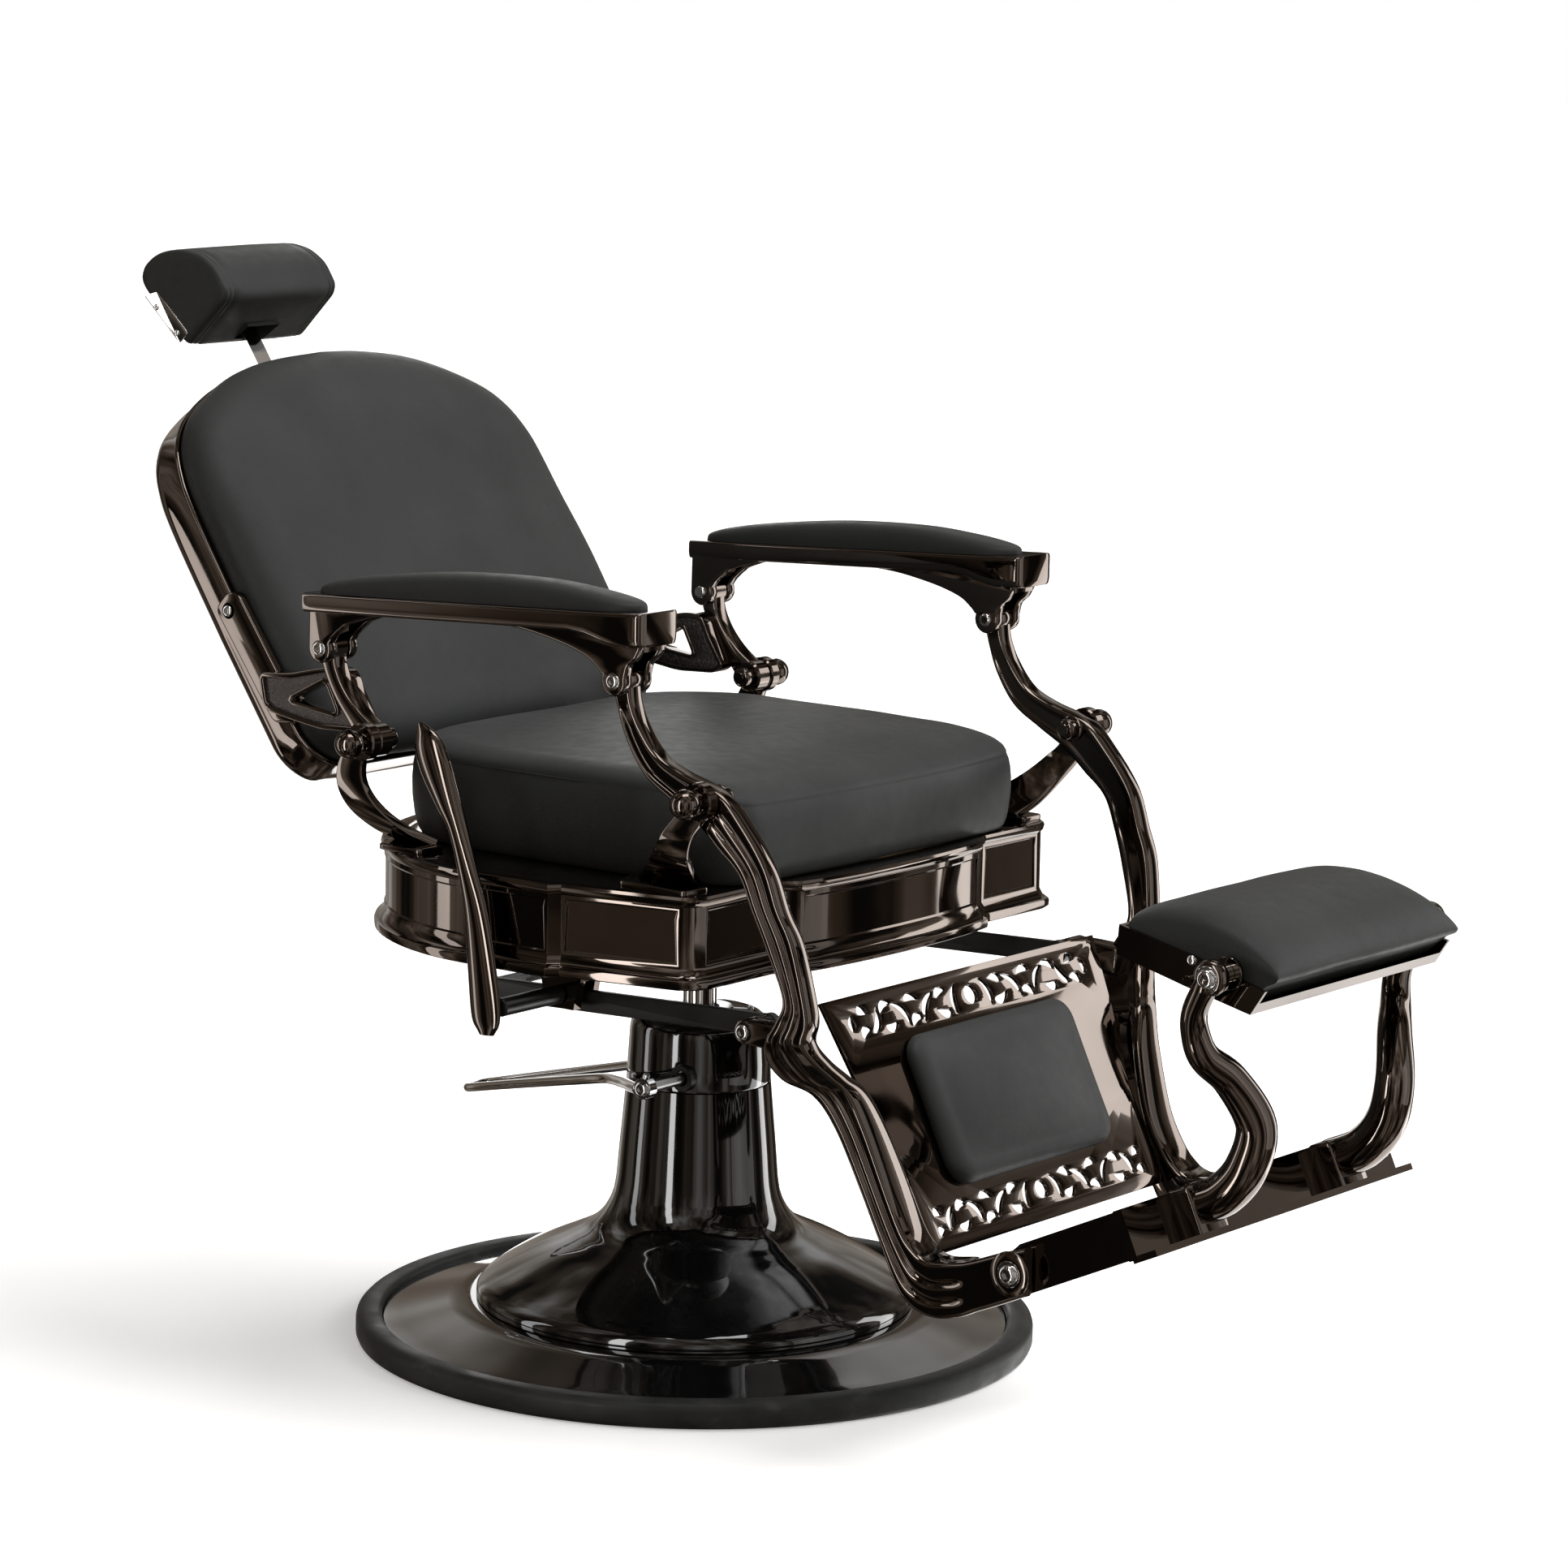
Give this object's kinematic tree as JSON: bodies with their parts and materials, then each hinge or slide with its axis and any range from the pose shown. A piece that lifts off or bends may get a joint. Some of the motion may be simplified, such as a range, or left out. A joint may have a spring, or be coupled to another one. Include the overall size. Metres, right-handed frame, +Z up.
{
  "type": "hydraulic barber chair",
  "caption": "Reclining hydraulic barber chair: round pedestal with pump lever, swivelling padded seat, linked back, arm rests, calf panel and fold-up footrest, head rest on a sliding post.",
  "frame": {"origin": "on the floor, under the axis of the pedestal and the swivel", "axes": "+X the way the sitter faces (longest extent), +Y the sitter's left, +Z up; stored partly reclined, with the pump at its lowest"},
  "size_m": [1.5127, 0.6996, 1.0708],
  "materials": {
    "gloss_black": "gloss",
    "rubber": "matte",
    "black_chrome": "polished",
    "chrome": "polished",
    "steel": "satin",
    "satin_black": "satin",
    "leather": "satin",
    "plywood": "matte",
    "black_plastic": "matte"
  },
  "bodies": {
    "base": {"base_plate": "gloss_black", "base_ring": "rubber", "pedestal_shroud": "gloss_black", "pedestal_sleeve": "gloss_black", "pump_cylinder": "steel"},
    "pump_lever": {"pump_shaft": "steel", "pump_lever": "chrome"},
    "pump_plunger": {"pump_plunger": "steel"},
    "piston": {"piston": "chrome"},
    "seat": {"seat_hub": "steel", "seat_plate": "steel", "seat_frame": "black_chrome", "seat_board": "plywood", "seat_cushion": "leather", "right_front_bracket": "black_chrome", "left_front_bracket": "black_chrome", "right_rear_post": "black_chrome", "left_rear_post": "black_chrome", "right_front_hinge_ball": "black_chrome", "left_front_hinge_ball": "black_chrome", "right_rear_hinge_ball": "black_chrome", "left_rear_hinge_ball": "black_chrome", "lever_bracket": "black_chrome", "bar_guide": "black_chrome"},
    "recline_lever": {"recline_lever": "chrome"},
    "back": {"back_tray": "black_chrome", "back_cushion": "leather", "right_back_bracket": "black_chrome", "left_back_bracket": "black_chrome", "headrest_sleeve": "black_chrome"},
    "headrest_knob": {"headrest_knob": "black_plastic"},
    "headrest_post": {"headrest_post": "chrome"},
    "headrest": {"headrest_plate": "chrome", "headrest_cushion": "leather"},
    "right_armrest": {"right_armrest_frame": "black_chrome", "right_armrest_pad": "leather", "right_front_armrest_pin": "chrome", "right_rear_armrest_pin": "chrome"},
    "left_armrest": {"left_armrest_frame": "black_chrome", "left_armrest_pad": "leather", "left_front_armrest_pin": "chrome", "left_rear_armrest_pin": "chrome"},
    "leg_frame": {"right_leg_arm": "black_chrome", "left_leg_arm": "black_chrome", "lattice_panel": "black_chrome", "calf_pad": "leather", "right_drag_pin": "chrome", "left_drag_pin": "chrome", "right_footrest_bolt": "chrome", "left_footrest_bolt": "chrome"},
    "drag_link": {"right_drag_bar": "satin_black", "left_drag_bar": "satin_black", "yoke_bar": "steel"},
    "footrest_frame": {"footrest_frame": "black_chrome", "right_s_arm": "black_chrome", "left_s_arm": "black_chrome"},
    "footrest_pad": {"footrest_tray": "black_chrome", "footrest_pad": "leather", "right_flip_bolt": "chrome", "left_flip_bolt": "chrome"}
  },
  "joints": [
    {"name": "lift", "type": "slide", "parent": "base", "child": "piston", "axis": [0, 0, 1], "range_m": [0, 0.15]},
    {"name": "swivel", "type": "hinge", "parent": "piston", "child": "seat", "pos_m": [0, 0, 0], "axis": [0, 0, 1], "continuous": true},
    {"name": "pump", "type": "hinge", "parent": "base", "child": "pump_lever", "pos_m": [0.033, 0, 0.282], "axis": [0, -1, 0], "range_deg": [0, 20], "stiffness_Nm_per_rad": 6, "springref_deg": -14.32},
    {"name": "plunger_stroke", "type": "slide", "parent": "base", "child": "pump_plunger", "axis": [0, 0, 1], "range_m": [-0.0076, 0.0002]},
    {"name": "recline", "type": "hinge", "parent": "seat", "child": "back", "pos_m": [-0.173, 0, 0.628], "axis": [0, -1, 0], "range_deg": [-18, 14]},
    {"name": "leg_swing", "type": "hinge", "parent": "seat", "child": "leg_frame", "pos_m": [0.248, 0, 0.62], "axis": [0, -1, 0], "range_deg": [-14.95, 11.63]},
    {"name": "right_armrest_turn", "type": "hinge", "parent": "back", "child": "right_armrest", "pos_m": [-0.23, 0, 0.714], "axis": [0, -1, 0], "range_deg": [-15.13, 19.44]},
    {"name": "left_armrest_turn", "type": "hinge", "parent": "back", "child": "left_armrest", "pos_m": [-0.23, 0, 0.714], "axis": [0, -1, 0], "range_deg": [-15.13, 19.44]},
    {"name": "drag_link_turn", "type": "hinge", "parent": "leg_frame", "child": "drag_link", "pos_m": [0.275, 0, 0.4], "axis": [0, -1, 0], "range_deg": [-11.63, 14.95]},
    {"name": "recline_lever_turn", "type": "hinge", "parent": "seat", "child": "recline_lever", "pos_m": [0.032, 0, 0.398], "axis": [0, -1, 0], "range_deg": [0, 12], "stiffness_Nm_per_rad": 2, "springref_deg": -17.19},
    {"name": "headrest_slide", "type": "slide", "parent": "back", "child": "headrest_post", "axis": [-0.5736, 0, 0.8192], "range_m": [-0.045, 0.09]},
    {"name": "headrest_knob_turn", "type": "hinge", "parent": "back", "child": "headrest_knob", "pos_m": [-0.54496, 0, 0.85586], "axis": [0.8192, 0, 0.5736], "range_deg": [0, 360]},
    {"name": "headrest_tilt", "type": "hinge", "parent": "headrest_post", "child": "headrest", "pos_m": [-0.65107, 0, 1.0074], "axis": [0, -1, 0], "range_deg": [-20, 20]},
    {"name": "footrest_fold", "type": "hinge", "parent": "leg_frame", "child": "footrest_frame", "pos_m": [0.56, 0, 0.2105], "axis": [0, -1, 0], "range_deg": [0, 30]},
    {"name": "footrest_flip", "type": "hinge", "parent": "footrest_frame", "child": "footrest_pad", "pos_m": [0.735, 0, 0.5045], "axis": [0, 1, 0], "range_deg": [0, 165]}
  ],
  "couplings": [
    {"joint": "plunger_stroke", "follows": "pump", "m_per_rad": -0.021},
    {"joint": "leg_swing", "follows": "recline", "ratio": 0.8296},
    {"joint": "right_armrest_turn", "follows": "recline", "ratio": -1.0789},
    {"joint": "left_armrest_turn", "follows": "recline", "ratio": -1.0789},
    {"joint": "drag_link_turn", "follows": "recline", "ratio": -0.8296}
  ]
}
